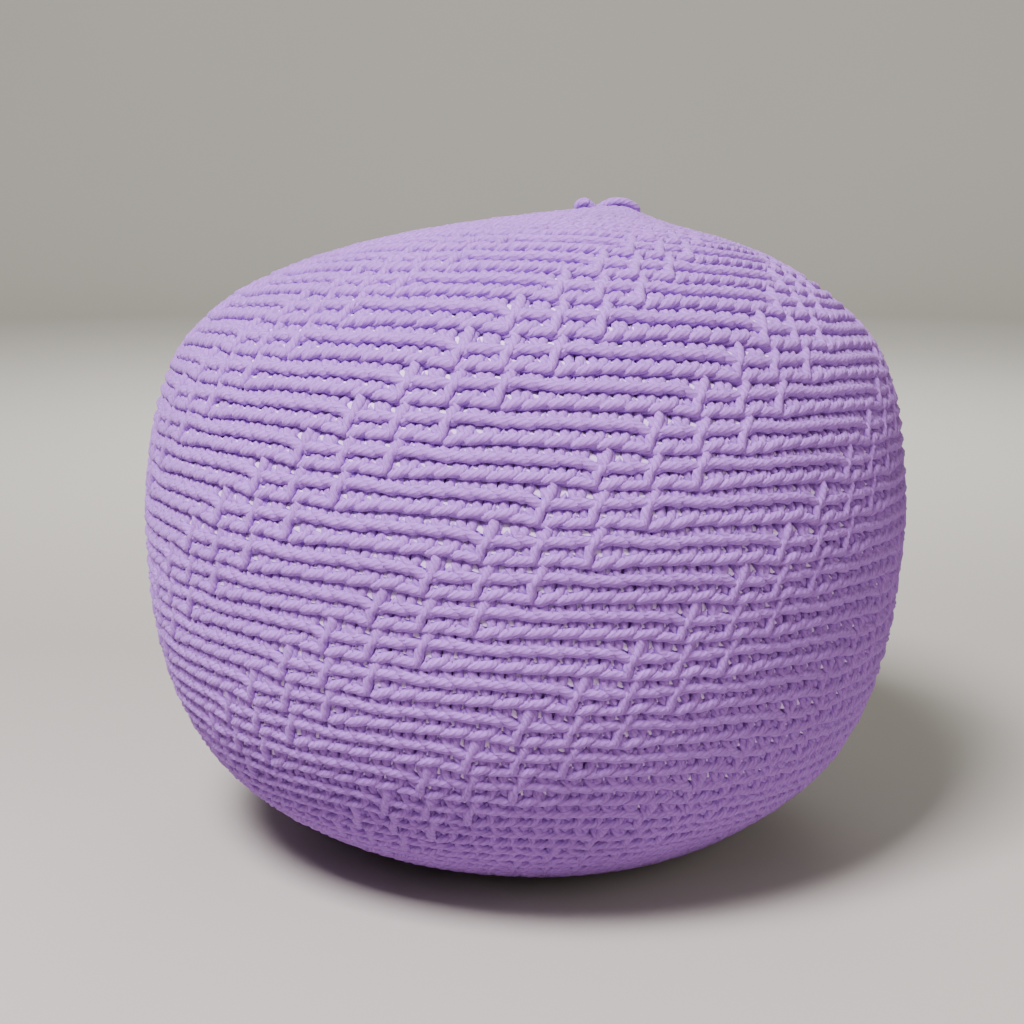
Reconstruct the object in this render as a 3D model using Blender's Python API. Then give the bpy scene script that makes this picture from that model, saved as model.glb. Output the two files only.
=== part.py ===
"""Knitted pouf: a cotton cord cover over one filled casing, drawn in at both ends.

The cover is knitted in the round, from the opening at the top to the one underneath. Each
course of purl stitches is a rib round the pouf. Ladders of knit stitches cross the ribs in
bands that run down to the left. The yarn's end is tied in a knot over the top opening.

Metres, +Z up. The front of the pouf faces -Y, and it rests on the plane z = 0.
"""

import math
from collections import namedtuple

import bmesh
import bpy
import numpy as np

# Knitting gauge
COURSES = 70  # rounds of knitting, from the top opening to the bottom one
STITCHES = 108  # stitches in every round
REPEAT = 12  # stitches and courses in one repeat of the ladders
BAR_COURSES = 6  # height of one ladder bar
BAR_PHASE = 7  # a bar starts where course + stitch leaves this remainder
STITCH_LEAN = -0.04  # stitches that a column drifts to the left with each course
LEAN_START = 20  # course where the drift is nil

# Cloth
RIB_DEPTH = 0.0045  # a course's crest above the groove below it
BAR_DEPTH = 0.0008  # a ladder bar's face below the crests that it joins
CLOTH = 0.008  # the knitting's thickness, crest to inner face
GAP = 0.0003  # clearance between pieces that touch
FIRST_RIB = 2  # courses nearer the openings are drawn flat
LAST_RIB = 61  # the courses after it lie flat under the pouf
LINING_STEP = 4  # courses between the rings of the smooth inner faces

# Openings that the drawn yarn closes, as radii
TOP_HOLE = 0.006
BOTTOM_HOLE = 0.006
NECK_REACH = 0.03  # how far the cavity's necks reach past the cloth
NECK_ROOM = 0.001  # how far the cavity rises into each neck

BACK_SHARE = 0.4  # a ring's back edge drops by this share of what its front edge rises

# The pouf's shape, top to bottom: each row is one course, a tilted ring.
# height, radius and the ring's shift to the right and to the back are in metres,
# tilt is how far its front edge is raised, in degrees.
Section = namedtuple("Section", "course height radius right back tilt")
SECTIONS = [
    Section(0.0, 0.4320, 0.014, 0.059, 0.030, 10.0),
    Section(2.2, 0.4270, 0.037, 0.048, 0.028, 10.5),
    Section(6.8, 0.4170, 0.086, 0.027, 0.024, 10.5),
    Section(12.7, 0.4000, 0.149, 0.013, 0.018, 9.5),
    Section(18.3, 0.3740, 0.203, 0.004, 0.010, 6.5),
    Section(23.6, 0.3350, 0.240, 0.002, 0.006, 3.5),
    Section(29.0, 0.2870, 0.256, 0.001, 0.002, 2.0),
    Section(34.3, 0.2300, 0.261, 0.000, 0.000, 2.0),
    Section(39.7, 0.1740, 0.258, -0.001, 0.000, 2.0),
    Section(44.5, 0.1220, 0.248, -0.001, 0.000, 2.5),
    Section(49.0, 0.0740, 0.227, 0.000, 0.000, 3.0),
    Section(53.5, 0.0360, 0.190, 0.001, 0.000, 2.5),
    Section(58.2, 0.0110, 0.143, 0.006, 0.000, 1.0),
    Section(62.4, 0.0000, 0.098, 0.012, 0.000, 0.0),
    Section(66.2, 0.0000, 0.056, 0.012, 0.000, 0.0),
    Section(70.0, 0.0000, 0.014, 0.012, 0.000, 0.0),
]
BASE_COURSE = SECTIONS[-3].course  # from here the cover lies flat on the ground

# The knot's two lobes: centre and half sizes, in metres
Lobe = namedtuple("Lobe", "right back height half_width half_depth half_height")
LOBES = [
    Lobe(0.045, 0.027, 0.4335, 0.0115, 0.0110, 0.0080),
    Lobe(0.066, 0.031, 0.4325, 0.0155, 0.0125, 0.0085),
]

SHARP_ANGLE = math.radians(30)  # edges that turn more than this are shaded sharp

# Colours
LILAC_YARN = (0.36, 0.26, 0.47, 1.0)
PALE_CLOTH = (0.74, 0.66, 0.84, 1.0)


def clear_scene():
    """Removes every object, and the collections and meshes that they leave."""
    for thing in list(bpy.data.objects):
        bpy.data.objects.remove(thing, do_unlink=True)
    for collection in list(bpy.data.collections):
        bpy.data.collections.remove(collection)
    for mesh in list(bpy.data.meshes):
        bpy.data.meshes.remove(mesh)


def new_collection(name):
    """A collection of that name, linked to the scene."""
    collection = bpy.data.collections.new(name)
    bpy.context.scene.collection.children.link(collection)
    return collection


def fabric(name, colour, roughness):
    """A matte cloth material."""
    material = bpy.data.materials.new(name)
    material.use_nodes = True
    shader = material.node_tree.nodes["Principled BSDF"]
    shader.inputs["Base Color"].default_value = colour
    shader.inputs["Roughness"].default_value = roughness
    shader.inputs["Metallic"].default_value = 0.0
    material.diffuse_color = colour
    return material


def limited_slopes(at, values):
    """Slopes for a cubic curve through a column of the table that never overshoots it."""
    step = np.diff(at)
    rise = np.diff(values) / step
    slopes = np.empty_like(values)
    slopes[0], slopes[-1] = rise[0], rise[-1]
    for i in range(1, len(values) - 1):
        before, after = rise[i - 1], rise[i]
        if before * after <= 0.0:
            slopes[i] = 0.0
        else:
            slopes[i] = 2.0 * before * after / (before + after)
    return slopes


TABLE = np.array(SECTIONS, dtype=float)
TABLE_SLOPES = np.array([limited_slopes(TABLE[:, 0], column) for column in TABLE.T]).T


def section_at(course):
    """The section table's row at any course, on a smooth curve through its rows."""
    at = TABLE[:, 0]
    course = min(max(course, at[0]), at[-1])
    i = min(int(np.searchsorted(at, course, side="right")) - 1, len(at) - 2)
    step = at[i + 1] - at[i]
    t = (course - at[i]) / step
    start, end = TABLE[i], TABLE[i + 1]
    start_slope, end_slope = TABLE_SLOPES[i] * step, TABLE_SLOPES[i + 1] * step
    row = (
        start * (1 + 2 * t) * (1 - t) ** 2
        + start_slope * t * (1 - t) ** 2
        + end * t * t * (3 - 2 * t)
        + end_slope * t * t * (t - 1)
    )
    return Section(*row)


def on_surface(course, turn):
    """The point of the crests' smooth envelope at a course and a turn in radians."""
    ring = section_at(course)
    tilt = math.radians(ring.tilt)
    forward = -math.sin(turn)
    share = (1 + BACK_SHARE + (1 - BACK_SHARE) * forward) / 2
    return np.array([
        ring.right + ring.radius * math.cos(turn),
        ring.back - ring.radius * forward * math.cos(tilt),
        ring.height + ring.radius * forward * math.sin(tilt) * share,
    ])


def outward(course, turn):
    """The envelope's unit normal, pointing out of the pouf."""
    if course >= BASE_COURSE:
        return np.array([0.0, 0.0, -1.0])
    small = 0.05
    upper, lower = max(course - small, 0.0), min(course + small, BASE_COURSE)
    down = on_surface(lower, turn) - on_surface(upper, turn)
    around = on_surface(course, turn + small) - on_surface(course, turn - small)
    normal = np.cross(down, around)
    return normal / np.linalg.norm(normal)


def turn_of(stitch, course):
    """The turn of a stitch's column, in radians: stitch 0 faces the front at LEAN_START."""
    drift = STITCH_LEAN * (course - LEAN_START)
    return 1.5 * math.pi + 2 * math.pi * (stitch + drift) / STITCHES


def cloth_point(course, stitch, depth):
    """A point of the cloth at a course and stitch, that depth under the crests."""
    turn = turn_of(stitch, course)
    return on_surface(course, turn) - depth * outward(course, turn)


def in_bar(course, stitch):
    """Whether a ladder bar crosses the groove under this course at this stitch."""
    return (course + stitch - BAR_PHASE) % REPEAT < BAR_COURSES


def ring_centre(course, depth=0.0):
    """The middle of a ring, that depth under the crests."""
    ring = section_at(course)
    return np.array([ring.right, ring.back, ring.height - depth])


def shaped_sphere(name, columns, rings, place, top, bottom):
    """A sphere primitive whose rings are moved to place(ring, column), its poles to two points."""
    bm = bmesh.new()
    bmesh.ops.create_uvsphere(bm, u_segments=columns, v_segments=rings + 1, radius=1.0)
    first = next(vert.co for vert in bm.verts if vert.co.xy.length > 0.5)
    first_turn = math.atan2(first.y, first.x)
    grid = {}
    for vert in bm.verts:
        ring = round(math.atan2(vert.co.xy.length, vert.co.z) / math.pi * (rings + 1))
        turn = math.atan2(vert.co.y, vert.co.x) - first_turn
        grid[vert] = (ring, round(turn / (2 * math.pi) * columns) % columns)
    for vert, (ring, column) in grid.items():
        if ring == 0:
            vert.co = top
        elif ring == rings + 1:
            vert.co = bottom
        else:
            vert.co = place(ring - 1, column)
    return bm, grid


def to_object(bm, name, collection):
    """Turns a finished mesh into an object with outward faces."""
    bmesh.ops.recalc_face_normals(bm, faces=bm.faces)
    mesh = bpy.data.meshes.new(name)
    bm.to_mesh(mesh)
    bm.free()
    mesh.shade_smooth()
    mesh.set_sharp_from_angle(angle=SHARP_ANGLE)
    thing = bpy.data.objects.new(name, mesh)
    collection.objects.link(thing)
    return thing


def hide_cutter(thing):
    """Marks an object as a cutter, which is no part of the pouf."""
    thing.hide_render = True
    thing.display_type = "WIRE"


def boolean(thing, cutter, operation):
    """Adds an exact Boolean modifier."""
    modifier = thing.modifiers.new(operation.title(), "BOOLEAN")
    modifier.object = cutter
    modifier.operation = operation
    modifier.solver = "EXACT"


def neck_point(course, radius, height, turn):
    """A point of the upright neck through an opening, that height above the end course."""
    ring = section_at(course)
    back = radius * math.sin(turn)
    return np.array([
        ring.right + radius * math.cos(turn),
        ring.back + back,
        ring.height + height - back * math.tan(math.radians(ring.tilt)),
    ])


def smooth_form(name, depth, collection, top_neck=None, bottom_neck=None):
    """The pouf's form at a depth under the crests. A neck is a hole's radius, or None."""
    columns = STITCHES // 4
    courses = list(np.arange(0, BASE_COURSE, LINING_STEP)) + [BASE_COURSE, COURSES - 2]
    rings = [(course, None) for course in courses]
    top = ring_centre(0, depth)
    bottom = ring_centre(COURSES, -depth)
    if top_neck:
        rings = [("top", NECK_REACH), ("top", NECK_ROOM - depth)] + rings
        top = ring_centre(0, -NECK_REACH)
    if bottom_neck:
        rings = rings + [("bottom", depth - NECK_ROOM), ("bottom", -NECK_REACH)]
        bottom = ring_centre(COURSES, NECK_REACH)

    def place(ring, column):
        course, height = rings[ring]
        stitch = 4 * column + 1
        if course == "top":
            return neck_point(0, top_neck, height, turn_of(stitch, 0))
        if course == "bottom":
            return neck_point(COURSES, bottom_neck, height, turn_of(stitch, COURSES))
        return cloth_point(course, stitch, depth)

    bm, _ = shaped_sphere(name, columns, len(rings), place, top, bottom)
    bmesh.ops.triangulate(bm, faces=bm.faces, quad_method="FIXED")
    return to_object(bm, name, collection)


def ribbed_form(name, collection):
    """The cover's outside: a crest on each course, a groove under it, and the ladder bars.

    One column of points stands for two stitches. The crests need only every second one, so
    the grooves go deeper between those, under the crests' chords. Every second bar of a
    ladder is raised across the grooves.
    """
    columns = STITCHES // 2
    rings = [(0, "flat"), (FIRST_RIB - 1, "flat")]
    for course in range(FIRST_RIB, LAST_RIB + 1):
        rings += [(course, "crest"), (course + 0.5, "groove")]
    rings += [(BASE_COURSE, "flat"), (COURSES - 2, "flat"), (COURSES, "flat")]

    def place(ring, column):
        course, kind = rings[ring]
        stitch = 2 * column + 1
        depth = 0.0
        if kind == "groove" and column % 2:
            depth = RIB_DEPTH + section_at(course).radius * (1 - math.cos(2 * math.pi / columns))
        elif kind == "groove":
            depth = BAR_DEPTH if in_bar(int(course), stitch) else RIB_DEPTH
        return cloth_point(course, stitch, depth)

    top, bottom = ring_centre(0), ring_centre(COURSES)
    bm, grid = shaped_sphere(name, columns, len(rings), place, top, bottom)
    spare = {}
    at = {where: vert for vert, where in grid.items()}
    for vert, (ring, column) in grid.items():
        if 1 <= ring <= len(rings) and rings[ring - 1][1] != "groove" and column % 2:
            spare[vert] = at[(ring, column - 1)]
    bmesh.ops.weld_verts(bm, targetmap=spare)
    bmesh.ops.triangulate(bm, faces=bm.faces, quad_method="SHORT_EDGE")
    return to_object(bm, name, collection)


def lobe(name, form, collection):
    """One lobe of the knot, an ellipsoid."""
    bm = bmesh.new()
    bmesh.ops.create_uvsphere(bm, u_segments=20, v_segments=12, radius=1.0)
    bmesh.ops.scale(bm, vec=(form.half_width, form.half_depth, form.half_height), verts=bm.verts)
    bmesh.ops.translate(bm, vec=(form.right, form.back, form.height), verts=bm.verts)
    return to_object(bm, name, collection)


def build_cover(parts, cutters, material):
    """The knitted cover, a shell that is open where the yarn draws it in."""
    cover = ribbed_form("knitted_cover", parts)
    cavity = smooth_form("cover_cavity", CLOTH, cutters, TOP_HOLE, BOTTOM_HOLE)
    hide_cutter(cavity)
    boolean(cover, cavity, "DIFFERENCE")
    cover.data.materials.append(material)


def build_casing(parts, material):
    """The filled casing, one solid that fills the cover."""
    casing = smooth_form("filled_casing", CLOTH + GAP, parts)
    casing.data.materials.append(material)


def build_knot(parts, cutters, material):
    """The knot of the drawn yarn, seated on the cover's top rim."""
    knot = lobe("closing_knot", LOBES[1], parts)
    second = lobe("knot_second_lobe", LOBES[0], cutters)
    seat = smooth_form("knot_seat", -GAP, cutters)
    hide_cutter(second)
    hide_cutter(seat)
    boolean(knot, second, "UNION")
    boolean(knot, seat, "DIFFERENCE")
    knot.data.materials.append(material)


def main():
    """Builds the three pieces of the pouf."""
    clear_scene()
    parts = new_collection("knitted_pouf")
    cutters = new_collection("cutters")
    yarn = fabric("lilac_yarn", LILAC_YARN, 0.9)
    knot_yarn = fabric("knot_yarn", LILAC_YARN, 0.9)
    pale = fabric("pale_casing", PALE_CLOTH, 0.85)
    build_cover(parts, cutters, yarn)
    build_casing(parts, pale)
    build_knot(parts, cutters, knot_yarn)


main()
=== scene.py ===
"""Looks of the knitted pouf: its yarn, course by course, over the pale casing, and the knot.

The cover is drawn as what it is. Each course is one closed tube of yarn that runs round the
pouf, stitch after stitch. A purl stitch shows as a short slanting stroke on the rib, with a loop
that goes up behind the course above. A knit stitch shows as one leg in front of the course
above, which crosses the grooves on both sides of it.

Metres, +Z up, front towards -Y. Distances along the knitting count in stitches across and
courses down.
"""

import math
from collections import namedtuple

import bpy
import numpy as np
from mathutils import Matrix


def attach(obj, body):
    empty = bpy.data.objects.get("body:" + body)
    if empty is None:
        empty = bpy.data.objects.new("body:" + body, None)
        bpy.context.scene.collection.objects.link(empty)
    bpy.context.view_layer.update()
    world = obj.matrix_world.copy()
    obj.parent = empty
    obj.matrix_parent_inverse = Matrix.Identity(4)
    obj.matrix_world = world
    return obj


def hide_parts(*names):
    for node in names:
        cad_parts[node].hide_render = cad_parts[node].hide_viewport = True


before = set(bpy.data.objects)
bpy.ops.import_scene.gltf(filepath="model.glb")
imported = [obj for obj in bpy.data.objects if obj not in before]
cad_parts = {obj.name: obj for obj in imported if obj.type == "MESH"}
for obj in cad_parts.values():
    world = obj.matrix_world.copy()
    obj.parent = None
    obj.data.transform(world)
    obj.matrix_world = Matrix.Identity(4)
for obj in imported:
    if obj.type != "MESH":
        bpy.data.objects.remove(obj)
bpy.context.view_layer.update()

# ---------------------------------------------------------------- knitting gauge

COURSES = 70  # the course at the bottom opening; the one at the top opening is course 0
STITCHES = 108  # stitches in a full round
REPEAT = 12  # stitches and courses in one repeat of the ladders
BAR_COURSES = 6  # height of one ladder bar
BAR_PHASE = 8  # a bar's first loop is where course + stitch leaves this remainder
STITCH_LEAN = -0.060  # stitches that a column drifts with each course, here to the left
LEAN_START = 18.1  # course where the drift is nil
SKEW = 1.2  # courses that a round hangs lower on the right and higher on the left
SKEW_SPAN = np.array([  # course, share of it
    (3, 0), (16, 1), (34, 1), (42, 1.2), (54, 1.2), (62, 0),
])

YARN_RADIUS = 0.0034
YARN_SIDES = 6  # corners of the tube that draws it

# Rounds near the drawn-in openings hold fewer stitches: first course of each, and how many
GATHERS = [(0, 12), (1, 27), (4, 54), (10, 108), (62, 54), (67, 27), (70, 12)]
FIRST_BAR_COURSE, LAST_BAR_COURSE = 3, 66  # the ladders' bars lie between these

# ---------------------------------------------------------------- the pouf's shape

BACK_SHARE = 0.4  # a ring's back edge drops by this share of what its front edge rises

# Each row is a tilted ring of the cover: where it lies along the courses, its height, its
# radius and its shift to the right and to the back, in metres, and how far its front edge is
# raised, in degrees.
Section = namedtuple("Section", "course height radius right back tilt")
SECTIONS = [
    Section(0.0, 0.4345, 0.014, 0.059, 0.030, 10.0),
    Section(2.2, 0.4292, 0.037, 0.048, 0.028, 10.5),
    Section(6.8, 0.4180, 0.086, 0.027, 0.024, 10.5),
    Section(12.7, 0.4015, 0.150, 0.013, 0.018, 9.5),
    Section(18.2, 0.3750, 0.205, 0.004, 0.010, 6.5),
    Section(23.4, 0.3350, 0.242, 0.002, 0.006, 3.5),
    Section(28.7, 0.2870, 0.256, 0.001, 0.002, 2.0),
    Section(33.9, 0.2300, 0.261, 0.000, 0.000, 2.0),
    Section(39.1, 0.1740, 0.258, -0.001, 0.000, 2.0),
    Section(43.7, 0.1220, 0.248, -0.001, 0.000, 2.5),
    Section(48.1, 0.0740, 0.227, 0.000, 0.000, 3.0),
    Section(52.7, 0.0360, 0.190, 0.001, 0.000, 2.5),
    Section(57.6, 0.0110, 0.143, 0.006, 0.000, 1.0),
    Section(62.4, 0.0000, 0.098, 0.012, 0.000, 0.0),
    Section(66.2, 0.0000, 0.056, 0.012, 0.000, 0.0),
    Section(70.0, 0.0000, 0.014, 0.012, 0.000, 0.0),
]
BASE_COURSE = SECTIONS[-3].course  # from here the cover lies flat on the ground
TABLE = np.array(SECTIONS, dtype=float)


def looked_up(table, at):
    """What a table of two columns says at any places, in proportion between its rows."""
    return np.interp(at, table[:, 0], table[:, 1])


def limited_slopes(at, values):
    """Slopes for a cubic curve through a column of the table that never overshoots it."""
    rise = np.diff(values) / np.diff(at)
    slopes = np.concatenate([rise[:1], np.zeros(len(values) - 2), rise[-1:]])
    before, after = rise[:-1], rise[1:]
    same = before * after > 0.0
    slopes[1:-1][same] = (2.0 * before * after)[same] / (before + after)[same]
    return slopes


TABLE_SLOPES = np.array([limited_slopes(TABLE[:, 0], column) for column in TABLE.T]).T


def section_at(course):
    """The section table's columns at any courses, on a smooth curve through its rows."""
    at = TABLE[:, 0]
    course = np.clip(course, at[0], at[-1])
    i = np.clip(np.searchsorted(at, course, side="right") - 1, 0, len(at) - 2)
    step = (at[i + 1] - at[i])[..., None]
    t = (course[..., None] - at[i][..., None]) / step
    start, end = TABLE[i], TABLE[i + 1]
    start_slope, end_slope = TABLE_SLOPES[i] * step, TABLE_SLOPES[i + 1] * step
    rows = (
        start * (1 + 2 * t) * (1 - t) ** 2
        + start_slope * t * (1 - t) ** 2
        + end * t * t * (3 - 2 * t)
        + end_slope * t * t * (t - 1)
    )
    return Section(*np.moveaxis(rows, -1, 0))


def on_surface(course, turn):
    """The points of the crests' smooth envelope at courses and turns in radians."""
    ring = section_at(course)
    tilt = np.radians(ring.tilt)
    forward = -np.sin(turn)
    share = (1 + BACK_SHARE + (1 - BACK_SHARE) * forward) / 2
    return np.stack([
        ring.right + ring.radius * np.cos(turn),
        ring.back - ring.radius * forward * np.cos(tilt),
        ring.height + ring.radius * forward * np.sin(tilt) * share,
    ], axis=-1)


def unit(vectors):
    """The vectors at length one."""
    return vectors / np.linalg.norm(vectors, axis=-1, keepdims=True)


def outward(course, turn):
    """The envelope's unit normals, pointing out of the pouf."""
    small = 0.05  # courses, and radians
    course = np.clip(course, small, BASE_COURSE)
    upper, lower = course - small, np.minimum(course + small, BASE_COURSE)
    down = on_surface(lower, turn) - on_surface(upper, turn)
    around = on_surface(course, turn + small) - on_surface(course, turn - small)
    normal = unit(np.cross(down, around))
    normal[course >= BASE_COURSE] = (0.0, 0.0, -1.0)
    return normal


def turn_of(stitch, course):
    """The turn of stitches' columns, in radians: stitch 0 faces the front at LEAN_START."""
    drift = STITCH_LEAN * (course - LEAN_START)
    return 1.5 * math.pi + 2 * math.pi * (stitch + drift) / STITCHES


def skewed(course, turn):
    """The envelope's course under a place on the knitting, whose rounds hang askew."""
    return course + SKEW * looked_up(SKEW_SPAN, course) * np.cos(turn)


# ---------------------------------------------------------------- stitches

# A stitch is a run of points on the yarn. Across counts stitches to the right and down
# counts courses, both from the stitch's middle on its rib; lift is in millimetres out from
# the yarn's place on the rib; steps is how many pieces the yarn has up to the next point.
Point = namedtuple("Point", "across down lift steps")

# A purl stitch: the right half of the stroke that comes in, which rises to the right in odd
# courses and falls in even ones, the loop, which goes up behind the course above and shows its
# head over it, and the left half of the stroke that leaves.
RISING_PURL = [
    Point(-0.50, 0.00, 0.0, 1),
    Point(-0.17, -0.05, 0.0, 2),
    Point(+0.14, -0.16, -0.7, 1),
    Point(+0.23, -0.46, -2.2, 1),
    Point(+0.22, -0.88, -5.0, 1),
    Point(0.00, -1.25, -1.1, 1),
    Point(-0.22, -0.88, -5.0, 1),
    Point(-0.24, -0.44, -2.2, 1),
    Point(-0.12, +0.12, -3.0, 1),
    Point(+0.18, +0.06, -0.3, 1),
]
FALLING_PURL = [
    Point(-0.50, 0.00, 0.0, 1),
    Point(-0.17, +0.04, 0.0, 2),
    Point(+0.14, +0.10, -1.4, 1),
    Point(+0.24, -0.44, -2.2, 1),
    Point(+0.22, -0.88, -5.0, 1),
    Point(0.00, -1.25, -1.1, 1),
    Point(-0.22, -0.88, -5.0, 1),
    Point(-0.23, -0.46, -2.2, 1),
    Point(-0.12, -0.16, -1.2, 1),
    Point(+0.18, -0.05, -0.3, 1),
]
LOOP = slice(3, 8)  # the loop's points

# How wide the loops stand, as a share of the table's widths: course, share. They are
# narrowest where the cover is stretched most.
LOOP_WIDTH = np.array([
    (0.0, 1.1), (14.0, 1.1), (19.0, 0.78), (33.0, 0.82), (42.0, 1.0), (70.0, 1.1),
])
LOOP_VARIES = 0.2  # how much that share strays from one loop to the next, either way
LOOP_DEEPER = np.array([(46.0, 0.0), (54.0, 1.8)])  # course, millimetres that the loops sink

FALLING_SHIFT = 0.45  # stitches that the even courses stand to the right of the odd ones

# A knit stitch, in the odd courses of a ladder bar: one leg of its loop goes up and to the
# right in front of the course above, and the other leg comes down behind it.
KNIT = [
    Point(-0.50, +0.05, -0.3, 1),
    Point(-0.20, +0.07, -0.2, 1),
    Point(+0.06, -0.04, 0.0, 1),
    Point(+0.12, -0.36, -0.1, 1),
    Point(+0.12, -0.74, -0.2, 1),
    Point(+0.26, -0.98, -0.5, 1),
    Point(+0.43, -1.18, -0.6, 1),
    Point(+0.49, -1.60, -0.2, 1),
    Point(+0.47, -2.02, -1.2, 1),
    Point(+0.18, -1.70, -5.2, 1),
    Point(-0.20, -0.95, -4.6, 1),
    Point(-0.24, -0.48, -2.2, 1),
    Point(-0.04, +0.10, -4.2, 1),
    Point(+0.28, +0.05, -1.6, 1),
]
CROSSED_LIFT = np.array([-0.5, -1.8, -1.4])  # of the first points of a stitch it crosses

# Beside a knit stitch the outer ends of the half strokes hang down to it: courses down.
AFTER_KNIT, BEFORE_KNIT = 0.06, 0.03

# How low the courses hang beside a ladder bar: courses from the bar's first one, and how far
# down, in courses. The gap above the course over the bar is the widest.
DROOP = np.array([
    (-2.0, -0.20), (-1.0, 0.08), (0.0, -0.03), (1.0, -0.03), (2.0, -0.12),
    (3.0, -0.20), (4.0, -0.05), (5.0, -0.10), (6.0, -0.20),
])
DROOP_START = 0.75  # stitches left of a bar where its own droop sets in, over one stitch
BAR_DIP = 0.15  # courses that each rib dips where it meets a bar
BAR_DIP_PLACE, BAR_DIP_REACH = 0.22, 0.40  # stitches right of the bar's column, and to each side
BAR_DIP_SPAN = np.array([  # courses from the bar's first one, share of the dip
    (-2.0, 0.0), (-1.0, 1.0), (4.0, 1.0), (5.0, 0.0),
])

JITTER = np.array([0.03, 0.02, 0.2])  # how far a point strays across, down and in lift


def is_knit(course, stitch):
    """Whether the stitch is a knit one of a ladder bar."""
    if not FIRST_BAR_COURSE < course < LAST_BAR_COURSE:
        return False
    in_bar = (course + stitch - BAR_PHASE) % REPEAT < BAR_COURSES
    return in_bar and course % 2 == 1 and stitch % 2 == 1


def gather_at(course):
    """How many stitches a round has."""
    return [count for first, count in GATHERS if first <= course][-1]


def from_bar_top(course, column):
    """Courses from the first one of the column's nearest bar, up to half a repeat either way."""
    half = REPEAT // 2
    return (course + column - BAR_PHASE + half) % REPEAT - half


def droop(course, stitch):
    """Courses that the knitting hangs down at a place; bars stand in the odd columns."""
    cell = (stitch - 1 + DROOP_START) / 2
    column = 2 * np.floor(cell) + 1
    share = np.clip(2 * (cell - np.floor(cell)), 0, 1)
    share = share * share * (3 - 2 * share)
    below_top = from_bar_top(course, column)
    before = looked_up(DROOP, from_bar_top(course, column - 2))
    here = looked_up(DROOP, below_top)
    aside = (stitch - column - BAR_DIP_PLACE) / BAR_DIP_REACH
    dip = looked_up(BAR_DIP_SPAN, below_top) * np.exp(-aside ** 2)
    return before + share * (here - before) + BAR_DIP * dip


def stitch_points(course, place, loop_width, knit, before_knit, after_knit):
    """The points of one stitch, by its kind and its neighbours'."""
    if knit:
        return np.array(KNIT)
    rising = course % 2 == 1
    points = np.array(RISING_PURL if rising else FALLING_PURL)
    points[LOOP, 0] *= loop_width
    points[LOOP, 2] -= looked_up(LOOP_DEEPER, course)
    if not rising:
        points[:, 0] += FALLING_SHIFT
    if after_knit:
        points[0, 1] += AFTER_KNIT
    if before_knit:
        points[-1, 1] += BEFORE_KNIT
    if is_knit(course + 1, place):
        points[:len(CROSSED_LIFT), 2] = CROSSED_LIFT
    return points


def yarn_points(course, random):
    """The control points of one round: stitch, course, lift in metres, and steps.

    Where a round is gathered, each of its stitches stands for several of a full round.
    """
    count = gather_at(course)
    merged = STITCHES // count
    first = 1 if merged > 1 else 0
    places = [first + merged * number for number in range(count)]
    knit = [is_knit(course, place) for place in places]
    widths = looked_up(LOOP_WIDTH, course) + LOOP_VARIES * random.uniform(-1, 1, count)
    runs = [
        stitch_points(course, place, widths[i], knit[i], knit[(i + 1) % count], knit[i - 1])
        for i, place in enumerate(places)
    ]
    points = np.concatenate(runs)
    home = np.repeat(places, [len(run) for run in runs]).astype(float)
    points[:, :3] += JITTER * random.uniform(-1, 1, (len(points), 3))
    stitch = home + merged * points[:, 0]
    down = course + points[:, 1]
    down += droop(down, stitch)
    return stitch, down, points[:, 2] / 1000, points[:, 3].astype(int)


def smooth_run(values, steps):
    """A closed Catmull-Rom curve through values, with each stretch cut into its own steps."""
    start = np.repeat(np.arange(len(values)), steps)
    first = np.repeat(np.cumsum(steps) - steps, steps)
    t = ((np.arange(len(start)) - first) / steps[start])[:, None]
    a, b, c, d = (values[(start + k) % len(values)] for k in (-1, 0, 1, 2))
    return 0.5 * (
        2 * b + (c - a) * t
        + (2 * a - 5 * b + 4 * c - d) * t ** 2
        + (3 * b - a - 3 * c + d) * t ** 3
    )


def yarn_path(course, random):
    """Centre line and surface normals of one course's yarn, closed."""
    stitch, down, lift, steps = yarn_points(course, random)
    turn = turn_of(stitch, down)
    down = skewed(down, turn)
    normal = outward(down, turn)
    centre = on_surface(down, turn) + (lift - YARN_RADIUS)[:, None] * normal
    unrolled = np.concatenate([centre, normal], axis=1)
    smooth = smooth_run(unrolled, steps)
    return smooth[:, :3], unit(smooth[:, 3:])


# ---------------------------------------------------------------- yarn as a mesh

LAY = 0.026  # length of yarn in which its plies make one turn


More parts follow.
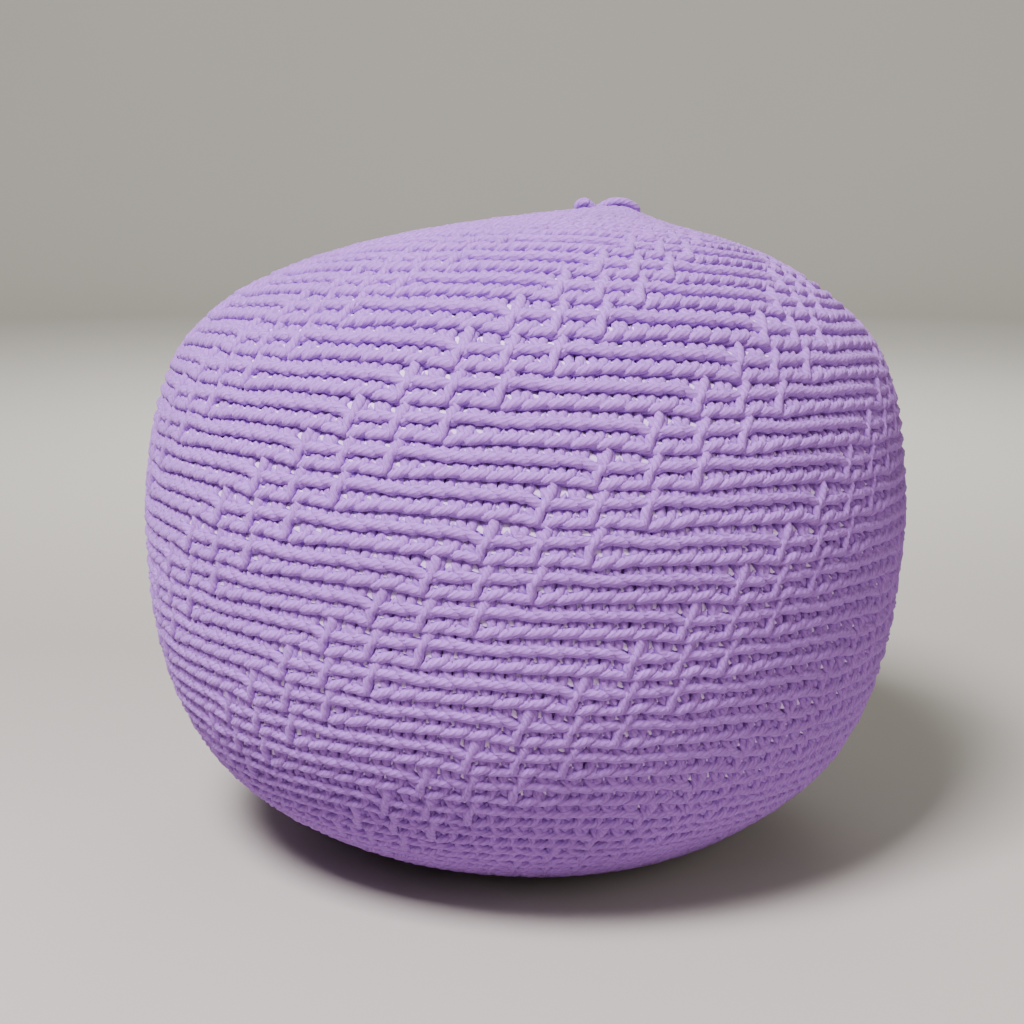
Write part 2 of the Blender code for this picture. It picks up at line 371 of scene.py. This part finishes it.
class Tubes:
    """Collects tubes of yarn and makes one mesh of them."""

    def __init__(self, sides):
        self.sides = sides
        self.points, self.faces, self.maps = [], [], []
        self.count = 0

    def add(self, centre, normal, radius, closed=True):
        """A tube along a line of centres, with normals to start its rings of points from.

        Nothing of it goes below the ground. Its UV map counts turns of the plies along the
        yarn, and turns round it.
        """
        length = len(centre)
        if closed:
            tangent = np.roll(centre, -1, 0) - np.roll(centre, 1, 0)
        else:
            tangent = np.gradient(centre, axis=0)
        tangent = unit(tangent)
        side = unit(np.cross(tangent, normal))
        up = np.cross(side, tangent)
        angle = 2 * math.pi * np.arange(self.sides) / self.sides
        cosine, sine = np.cos(angle)[None, :, None], np.sin(angle)[None, :, None]
        ring = cosine * up[:, None] + sine * side[:, None]
        points = centre[:, None] + np.reshape(radius, (-1, 1, 1)) * ring
        points[..., 2] = np.maximum(points[..., 2], 0.0)
        runs = length if closed else length - 1
        i = np.arange(runs)[:, None]
        k = np.arange(self.sides)[None, :]
        k_next = (k + 1) % self.sides
        here = self.count + i * self.sides
        ahead = self.count + (i + 1) % length * self.sides
        quads = np.stack([here + k, ahead + k, ahead + k_next, here + k_next], axis=-1)
        following = np.roll(centre, -1, 0) if closed else centre[1:]
        along = np.concatenate([[0], np.cumsum(np.linalg.norm(following - centre[:runs], axis=1))])
        turns = max(round(along[-1] / LAY), 1)
        along = along / along[-1] * turns
        u0 = np.broadcast_to(along[:-1, None], (runs, self.sides))
        u1 = np.broadcast_to(along[1:, None], (runs, self.sides))
        v0 = np.broadcast_to(k / self.sides, (runs, self.sides))
        v1 = v0 + 1 / self.sides
        corners = [np.stack(pair, axis=-1) for pair in ((u0, v0), (u1, v0), (u1, v1), (u0, v1))]
        self.points.append(points.reshape(-1, 3))
        self.faces.append(quads.reshape(-1, 4))
        self.maps.append(np.stack(corners, axis=2).reshape(-1, 2))
        self.count += length * self.sides

    def piece(self, name, material):
        """The collected tubes as one smooth object."""
        points = np.concatenate(self.points).astype(np.float32)
        faces = np.concatenate(self.faces).astype(np.int32)
        return mesh_piece(name, points, faces, material, np.concatenate(self.maps))


def linked_object(name, data):
    """A new object in the scene that shows the data."""
    thing = bpy.data.objects.new(name, data)
    bpy.context.scene.collection.objects.link(thing)
    return thing


def mesh_piece(name, points, faces, material, maps):
    """A smooth object of quads with a UV map."""
    mesh = bpy.data.meshes.new(name)
    mesh.vertices.add(len(points))
    mesh.vertices.foreach_set("co", points.ravel())
    mesh.loops.add(faces.size)
    mesh.loops.foreach_set("vertex_index", faces.ravel())
    mesh.polygons.add(len(faces))
    mesh.polygons.foreach_set("loop_start", np.arange(0, faces.size, 4, dtype=np.int32))
    mesh.update(calc_edges=True)
    mesh.validate()
    mesh.shade_smooth()
    layer = mesh.uv_layers.new(name="yarn")
    layer.uv.foreach_set("vector", maps.astype(np.float32).ravel())
    mesh.materials.append(material)
    return linked_object(name, mesh)


# ---------------------------------------------------------------- materials

YARN_COLOUR = (0.37, 0.155, 0.60, 1.0)
PLY_GROOVE_PAINTED_SHADE = (0.25, 0.11, 0.39, 1.0)  # painted shade, in the grooves between the plies
LIGHT_FIBRE, DARK_FIBRE = 1.3, 0.72  # single fibres' colour against the yarn's
PLIES = 6
CASING_COLOUR = (0.84, 0.61, 1.0, 1.0)
SLUB_COLOUR = (0.76, 0.53, 0.96, 1.0)  # where the casing's thread is thick
THREAD_PITCH = 0.0009  # metres from one thread of the casing to the next but one
THREAD_RADIUS = 0.25  # metres, near the belly's, where the upright threads lie that far apart
FLOOR_COLOUR = (0.43, 0.415, 0.375, 1.0)


def scaled(colour, share):
    """A colour made lighter or darker, at most one in each part."""
    return tuple(min(part * share, 1.0) for part in colour[:3]) + (1.0,)


class Nodes:
    """Short forms for building a material's nodes."""

    def __init__(self, name):
        self.material = bpy.data.materials.new(name)
        self.material.use_nodes = True
        self.tree = self.material.node_tree
        self.shader = self.tree.nodes["Principled BSDF"]

    def node(self, kind, **settings):
        """A shader node of a kind, with its settings."""
        made = self.tree.nodes.new("ShaderNode" + kind)
        for key, value in settings.items():
            setattr(made, key, value)
        return made

    def link(self, source, target):
        """Feeds one socket from another."""
        self.tree.links.new(source, target)

    def math(self, operation, first, second=None):
        """A sum, product or other operation on sockets and numbers."""
        made = self.node("Math", operation=operation)
        for slot, value in enumerate((first, second)):
            if value is None:
                continue
            if isinstance(value, (int, float)):
                made.inputs[slot].default_value = value
            else:
                self.link(value, made.inputs[slot])
        return made.outputs[0]

    def noise(self, vector, scale, detail=2.0, roughness=0.5):
        """A noise from 0 to 1 over a vector."""
        made = self.node("TexNoise")
        made.inputs["Scale"].default_value = scale
        made.inputs["Detail"].default_value = detail
        made.inputs["Roughness"].default_value = roughness
        self.link(vector, made.inputs["Vector"])
        return made.outputs["Fac"]

    def mix(self, factor, first, second):
        """The first colour where the factor is 0, the second where it is 1."""
        made = self.node("Mix", data_type="RGBA")
        made.clamp_factor = True
        self.link(factor, made.inputs["Factor"])
        for socket, value in (("A", first), ("B", second)):
            target = [s for s in made.inputs if s.name == socket and s.type == "RGBA"][0]
            if isinstance(value, tuple):
                target.default_value = value
            else:
                self.link(value, target)
        return [s for s in made.outputs if s.type == "RGBA"][0]

    def spread(self, value, low, high, to_low=0.0, to_high=1.0):
        """A value brought from one range to another, and kept inside it."""
        made = self.node("MapRange")
        self.link(value, made.inputs["Value"])
        ends = {"From Min": low, "From Max": high, "To Min": to_low, "To Max": to_high}
        for name, number in ends.items():
            made.inputs[name].default_value = number
        return made.outputs[0]

    def bump(self, height, strength, distance, below=None):
        """A normal bent by a height, on top of another bump if one is given."""
        made = self.node("Bump")
        made.inputs["Strength"].default_value = strength
        made.inputs["Distance"].default_value = distance
        self.link(height, made.inputs["Height"])
        if below is not None:
            self.link(below, made.inputs["Normal"])
        return made.outputs["Normal"]


def yarn_material(name):
    """Matte cotton yarn of soft plies, with loose fibres."""
    n = Nodes(name)
    uv = n.node("UVMap", uv_map="yarn").outputs["UV"]
    split = n.node("SeparateXYZ")
    n.link(uv, split.inputs[0])
    along, around = split.outputs["X"], split.outputs["Y"]
    place = n.node("TexCoord").outputs["Object"]
    # plies: ridges wind round the yarn
    phase = n.math("ADD", n.math("MULTIPLY", around, PLIES), n.math("MULTIPLY", along, PLIES))
    ply = n.math("ABSOLUTE", n.math("SINE", n.math("MULTIPLY", phase, math.pi)))
    # fibres: noise stretched along the plies, the same on both sides of the seam
    angle = n.math("MULTIPLY", n.math("ADD", around, along), 2 * math.pi)
    spun = n.node("CombineXYZ")
    n.link(n.math("MULTIPLY", along, 2.0), spun.inputs[0])
    n.link(n.math("COSINE", angle), spun.inputs[1])
    n.link(n.math("SINE", angle), spun.inputs[2])
    fibre = n.noise(spun.outputs[0], 5.0, detail=3.0, roughness=0.65)
    fuzz = n.noise(place, 900.0, roughness=0.6)
    tone = n.noise(place, 14.0)
    # colour: the plies' backs in the yarn's colour, painted shade in the grooves between them,
    # unevenly dyed
    groove = n.spread(ply, 0.0, 0.75)
    base = n.mix(groove, PLY_GROOVE_PAINTED_SHADE, YARN_COLOUR)
    light, dark = scaled(YARN_COLOUR, LIGHT_FIBRE), scaled(YARN_COLOUR, DARK_FIBRE)
    base = n.mix(n.spread(fibre, 0.45, 0.75, 0.0, 0.7), base, light)
    base = n.mix(n.spread(fibre, 0.34, 0.50, 0.75, 0.0), base, dark)
    base = n.mix(n.spread(tone, 0.50, 0.78, 0.0, 0.45), base, dark)
    n.link(base, n.shader.inputs["Base Color"])
    normal = n.bump(ply, 0.45, 0.0005)
    normal = n.bump(fibre, 0.45, 0.0005, normal)
    normal = n.bump(fuzz, 0.7, 0.0005, normal)
    n.link(normal, n.shader.inputs["Normal"])
    n.shader.inputs["Roughness"].default_value = 0.92
    n.shader.inputs["Specular IOR Level"].default_value = 0.25
    n.shader.inputs["Sheen Weight"].default_value = 0.12
    n.shader.inputs["Sheen Roughness"].default_value = 0.55
    n.shader.inputs["Sheen Tint"].default_value = (0.86, 0.78, 1.0, 1.0)
    return n.material


def casing_material(name):
    """Pale plain-woven cloth."""
    n = Nodes(name)
    place = n.node("TexCoord").outputs["Object"]
    split = n.node("SeparateXYZ")
    n.link(place, split.inputs[0])
    # threads upright all round, and level ones
    thread = 2 * math.pi / THREAD_PITCH
    turn = n.math("ARCTAN2", split.outputs["Y"], split.outputs["X"])
    round_belly = n.math("MULTIPLY", turn, THREAD_RADIUS)
    warp = n.math("SINE", n.math("MULTIPLY", round_belly, thread))
    weft = n.math("SINE", n.math("MULTIPLY", split.outputs["Z"], thread))
    weave = n.math("ABSOLUTE", n.math("MULTIPLY", warp, weft))
    slub = n.noise(place, 60.0, detail=3.0)
    base = n.mix(n.spread(slub, 0.4, 0.7, 0.0, 0.5), CASING_COLOUR, SLUB_COLOUR)
    n.link(base, n.shader.inputs["Base Color"])
    normal = n.bump(weave, 0.3, 0.0002)
    normal = n.bump(slub, 0.3, 0.0008, normal)
    n.link(normal, n.shader.inputs["Normal"])
    n.shader.inputs["Roughness"].default_value = 0.85
    n.shader.inputs["Specular IOR Level"].default_value = 0.3
    n.shader.inputs["Sheen Weight"].default_value = 0.15
    return n.material


def floor_material():
    """A plain pale matte floor."""
    n = Nodes("pale_floor")
    place = n.node("TexCoord").outputs["Object"]
    cloud = n.noise(place, 1.5, detail=3.0)
    base = n.mix(cloud, FLOOR_COLOUR, scaled(FLOOR_COLOUR, 0.96))
    n.link(base, n.shader.inputs["Base Color"])
    n.shader.inputs["Roughness"].default_value = 0.95
    return n.material


# ---------------------------------------------------------------- the pieces

SEED = 11  # of the random numbers that make the stitches uneven
BANDS = 6  # meshes that the cover's courses are shared out over
YARN_THINNED = np.array([(0.0, 0.84), (8.0, 0.80), (17.0, 1.0)])  # course, share of its radius
YARN_LUMPS = 0.04  # how unevenly the yarn is spun, from one ring of its tube to the next
YARN_SWELL, SWELL_RINGS = 0.03, 6  # and over this many rings together


def build_cover(material):
    """Every course's yarn, in bands from the top to the bottom."""
    random = np.random.default_rng(SEED)
    edges = np.linspace(0, COURSES + 1, BANDS + 1).round().astype(int)
    made = []
    for band in range(BANDS):
        tubes = Tubes(YARN_SIDES)
        for course in range(edges[band], edges[band + 1]):
            centre, normal = yarn_path(course, random)
            rings = len(centre)
            swell = random.uniform(-1, 1, rings // SWELL_RINGS + 1)
            swell = np.repeat(swell, SWELL_RINGS)[:rings]
            lumps = random.uniform(-1, 1, rings)
            thinned = looked_up(YARN_THINNED, course)
            radius = YARN_RADIUS * thinned * (1 + YARN_SWELL * swell + YARN_LUMPS * lumps)
            tubes.add(centre, normal, radius)
        made.append(tubes.piece(f"cover_courses_{band + 1}", material))
    return made


CASING_DEPTH = 0.0098  # under the crests, where the yarn presses the casing in
CASING_ENDS = 0.6, COURSES - 1.0  # courses that its mesh lies between
CASING_STEPS = 1 / 3, 1 / 2  # courses and stitches from one point of its mesh to the next
SPOT_BULGE = 0.0072  # how far it swells out between the loops, just above each rib
SPOT_ABOVE = 0.45  # courses from there down to the rib
SPOT_EVEN = 0.35  # share of the swelling that goes on behind the loops
BULGE_SPAN = np.array([(46.0, 1.0), (54.0, 0.1)])  # course, share of the swelling


def casing_bulge(course, stitch):
    """How far the casing swells out of its smooth form at places on the knitting."""
    rib_below = np.round(course + SPOT_ABOVE)
    shift = np.where(rib_below % 2 == 0, FALLING_SHIFT, 0.0)
    between_loops = (1 - np.cos(2 * np.pi * (stitch - shift))) / 2
    above_rib = ((1 + np.cos(2 * np.pi * (course + SPOT_ABOVE))) / 2) ** 2
    reach = SPOT_BULGE * looked_up(BULGE_SPAN, course)
    return reach * above_rib * (SPOT_EVEN + (1 - SPOT_EVEN) * between_loops)


def ring_mesh(name, rings, material, last_closed=True):
    """A smooth object through rings of points, with a fan over the first and maybe the last."""
    rows, columns = rings.shape[:2]
    points = rings.reshape(-1, 3).tolist() + [rings[0].mean(0).tolist()]
    faces = []
    for column in range(columns):
        following = (column + 1) % columns
        faces.append((rows * columns, column, following))
        for start in range(0, (rows - 1) * columns, columns):
            upper, lower = start, start + columns
            faces.append((upper + column, lower + column, lower + following, upper + following))
        if last_closed:
            last = (rows - 1) * columns
            faces.append((rows * columns + 1, last + following, last + column))
    if last_closed:
        points.append(rings[-1].mean(0).tolist())
    mesh = bpy.data.meshes.new(name)
    mesh.from_pydata(points, [], faces)
    mesh.shade_smooth()
    mesh.materials.append(material)
    return linked_object(name, mesh)


def build_casing(material):
    """The filled casing, a closed form that swells into the gaps of the knitting."""
    down_step, across_step = CASING_STEPS
    courses = np.arange(*CASING_ENDS, down_step)
    stitches = np.arange(0, STITCHES, across_step)
    course, stitch = np.meshgrid(courses, stitches, indexing="ij")
    down = course + droop(course, stitch)
    turn = turn_of(stitch, down)
    down = skewed(down, turn)
    depth = CASING_DEPTH - casing_bulge(course, stitch)
    points = on_surface(down, turn) - depth[..., None] * outward(down, turn)
    return ring_mesh("pale_casing", points, material)


# The knot's yarn, from where it comes out of the top opening to where it goes back:
# metres to the right, to the back and up.
KNOT_ROUTE = np.array([
    (0.0560, 0.0310, 0.4220),
    (0.0500, 0.0270, 0.4300),
    (0.0430, 0.0235, 0.4378),
    (0.0372, 0.0250, 0.4366),
    (0.0385, 0.0300, 0.4300),
    (0.0460, 0.0300, 0.4300),
    (0.0530, 0.0270, 0.4350),
    (0.0610, 0.0250, 0.4385),
    (0.0710, 0.0280, 0.4375),
    (0.0775, 0.0330, 0.4330),
    (0.0740, 0.0390, 0.4310),
    (0.0650, 0.0400, 0.4345),
    (0.0560, 0.0360, 0.4360),
    (0.0520, 0.0290, 0.4320),
    (0.0580, 0.0210, 0.4320),
    (0.0680, 0.0205, 0.4325),
    (0.0750, 0.0255, 0.4300),
    (0.0700, 0.0320, 0.4290),
    (0.0610, 0.0330, 0.4240),
])
KNOT_RADIUS = 0.0031
KNOT_SIDES, KNOT_STEPS = 10, 6  # corners of its tube, and its pieces from one row to the next
KNOT_MIDDLE_DROP = 0.004  # the middle that its tube's rings start away from lies so far down
END_TAPER, END_SHARE = 1 / 30, 0.35  # of its length and its radius: how each end tapers


def build_knot(material):
    """The knot at the peak, one run of yarn."""
    closed = smooth_run(KNOT_ROUTE, np.full(len(KNOT_ROUTE), KNOT_STEPS))
    centre = closed[:KNOT_STEPS * (len(KNOT_ROUTE) - 1) + 1]
    middle = KNOT_ROUTE.mean(0) - (0, 0, KNOT_MIDDLE_DROP)
    normal = unit(centre - middle)
    tubes = Tubes(KNOT_SIDES)
    ends = np.linspace(0, 1, len(centre))
    radius = KNOT_RADIUS * np.clip(np.minimum(ends, 1 - ends) / END_TAPER, END_SHARE, 1.0)
    tubes.add(centre, normal, radius, closed=False)
    return tubes.piece("peak_knot", material)


# ---------------------------------------------------------------- camera, light and floor

LENS, SENSOR = 59.77, 36.0  # millimetres
CAMERA_PLACE = (-0.009, -1.17, 0.46)
CAMERA_DIP = math.radians(11.37)  # how far it looks down


def build_camera():
    """The camera at the photograph's viewing angle."""
    camera = bpy.data.cameras.new("camera")
    camera.lens = LENS
    camera.sensor_width = SENSOR
    thing = linked_object("camera", camera)
    thing.location = CAMERA_PLACE
    thing.rotation_euler = (math.pi / 2 - CAMERA_DIP, 0.0, 0.0)
    bpy.context.scene.camera = thing


def area_light(name, place, target, size, power, colour=(1.0, 1.0, 1.0)):
    """A soft square light that faces a point."""
    light = bpy.data.lights.new(name, "AREA")
    light.shape = "SQUARE"
    light.size = size
    light.energy = power
    light.color = colour
    thing = linked_object(name, light)
    thing.location = place
    x, y, z = np.array(target) - np.array(place)
    thing.rotation_euler = (math.atan2(math.hypot(x, y), -z), 0.0, math.atan2(-x, y))


def build_light():
    """Soft studio light, mostly from above and in front, on the left."""
    middle = (0.0, 0.0, 0.22)
    area_light("key", (-0.8, -1.3, 2.35), middle, 0.8, 180.0, (1.0, 0.93, 1.0))
    area_light("fill", (1.9, -1.5, 1.1), middle, 1.8, 18.0, (1.0, 0.98, 0.82))
    area_light("back", (0.4, 2.2, 1.8), middle, 1.6, 20.0)
    area_light("backdrop", (0.0, 1.2, 2.4), (0.0, 6.0, 0.9), 2.0, 150.0)
    world = bpy.data.worlds.new("studio")
    bpy.context.scene.world = world
    world.use_nodes = True
    background = world.node_tree.nodes["Background"]
    background.inputs["Color"].default_value = (1.0, 0.99, 0.84, 1.0)
    background.inputs["Strength"].default_value = 0.26


def build_floor():
    """A wide plain floor just under the pouf, which curves up into a wall all round it."""
    drop, reach, bend, wall = 0.0002, 4.5, 1.5, 2.6  # metres
    flat = [0.5, 2.0]  # metres, the rings inside the bend
    angle = np.linspace(0, math.pi / 2, 9)
    radius = np.concatenate([flat, reach + bend * np.sin(angle), [reach + bend]])
    height = np.concatenate([[0.0, 0.0], bend * (1 - np.cos(angle)), [wall]]) - drop
    turn = np.linspace(0, 2 * math.pi, 64, endpoint=False)
    x, y = radius[:, None] * np.cos(turn), radius[:, None] * np.sin(turn)
    rings = np.stack(np.broadcast_arrays(x, y, height[:, None]), axis=-1)
    ring_mesh("floor", rings, floor_material(), last_closed=False)


def main():
    """Builds the pouf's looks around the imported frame."""
    build_camera()
    yarn = yarn_material("lilac_yarn")
    knot_yarn = yarn_material("lilac_knot_yarn")
    cloth = casing_material("pale_casing_cloth")
    for piece in build_cover(yarn):
        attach(piece, "root")
        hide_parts("knitted_cover")
    casing = build_casing(cloth)
    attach(casing, "root")
    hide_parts("filled_casing")
    knot = build_knot(knot_yarn)
    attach(knot, "root")
    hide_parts("closing_knot")
    build_floor()
    build_light()


main()
